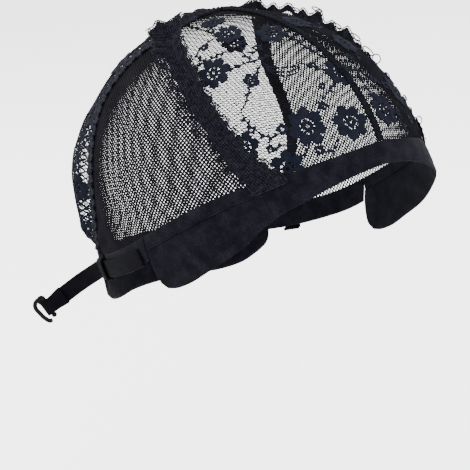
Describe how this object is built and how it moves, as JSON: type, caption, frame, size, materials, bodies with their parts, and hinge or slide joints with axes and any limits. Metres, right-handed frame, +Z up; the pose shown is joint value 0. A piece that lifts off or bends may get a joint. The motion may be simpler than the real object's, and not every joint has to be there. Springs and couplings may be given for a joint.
{
  "type": "wig cap",
  "caption": "Worn-shape wig cap with floral lace front, side nets, ruffled seams, ear tabs, loose lace back and a hooked elastic adjuster strap.",
  "frame": {"origin": "inside of the crown, straight above the middle of the head hollow, where the cap sits on a head", "axes": "+Z up out of the crown, -Y towards the forehead, -X towards the wearer's right, where the adjuster strap hangs"},
  "size_m": [0.1403, 0.1975, 0.1501],
  "materials": {
    "floral_lace": "fine black hexagonal net with woven flowers, matt",
    "side_net": "black knitted mesh with diamond openings, matt",
    "ruffle_lace": "dense gathered black lace edging, matt",
    "elastic_band": "black ribbed stretch knit with a soft nap",
    "strap_elastic": "black woven elastic, slightly smooth",
    "hook_coating": "black coated wire, satin"
  },
  "bodies": {
    "root": {"front_lace_right": "floral_lace", "front_lace_left": "floral_lace", "side_net_right": "side_net", "side_net_left": "side_net", "back_lace": "floral_lace", "side_ruffle_right": "ruffle_lace", "side_ruffle_left": "ruffle_lace", "crown_ruffle": "ruffle_lace", "rear_trim_right": "ruffle_lace", "rear_trim_left": "ruffle_lace", "centre_tape": "ruffle_lace", "front_band": "elastic_band", "side_casing_right": "elastic_band", "side_casing_left": "elastic_band", "ear_tab_right": "elastic_band", "ear_tab_left": "elastic_band", "back_band_right": "elastic_band", "back_band_left": "elastic_band", "nape_panel": "elastic_band", "strap_keeper_right": "strap_elastic", "strap_keeper_left": "strap_elastic", "adjuster_strap": "strap_elastic", "hook": "hook_coating"}
  },
  "joints": []
}
